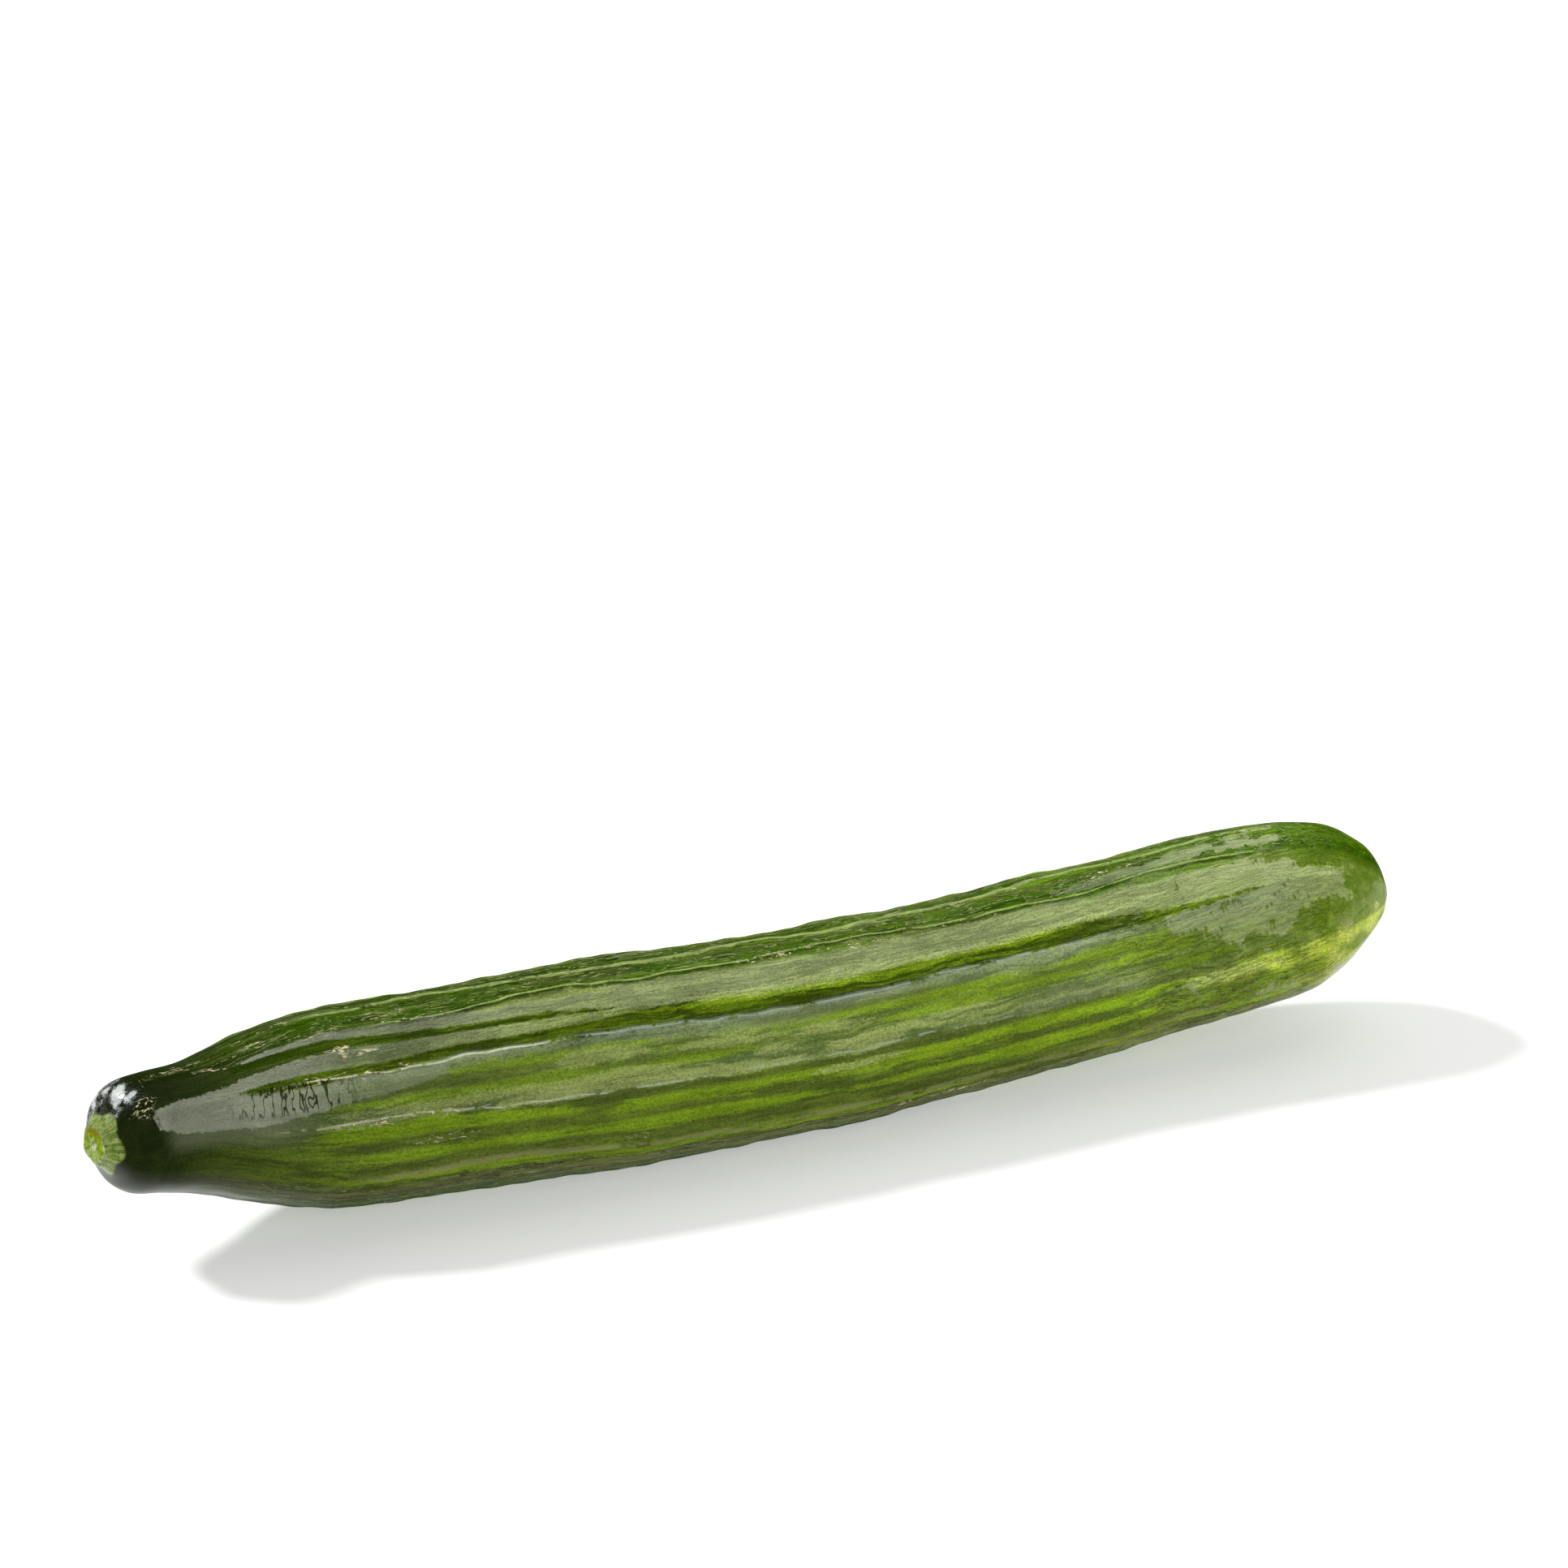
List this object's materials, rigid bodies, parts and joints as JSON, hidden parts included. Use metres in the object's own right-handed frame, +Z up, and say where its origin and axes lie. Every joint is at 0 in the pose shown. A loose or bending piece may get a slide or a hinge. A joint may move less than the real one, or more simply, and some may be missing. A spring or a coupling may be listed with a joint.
{
  "type": "cucumber",
  "caption": "Long, slightly bent fruit with soft lengthwise ridges, a narrowed neck with its cut stalk and a rounded blossom end, lying on the outer side of its bend with both ends raised a little.",
  "frame": {"origin": "middle of the bounding box, on the plane that the fruit lies on", "axes": "+X along the fruit from the cut stalk to the blossom end, +Z up, and -Y square to both; the outer side of its bend is down"},
  "size_m": [0.3242, 0.0504, 0.0513],
  "materials": {
    "skin": "waxy green fruit skin, dark at the neck and yellow green towards the blossom end, semi-gloss"
  },
  "bodies": {
    "root": {"cucumber": "skin"}
  },
  "joints": []
}
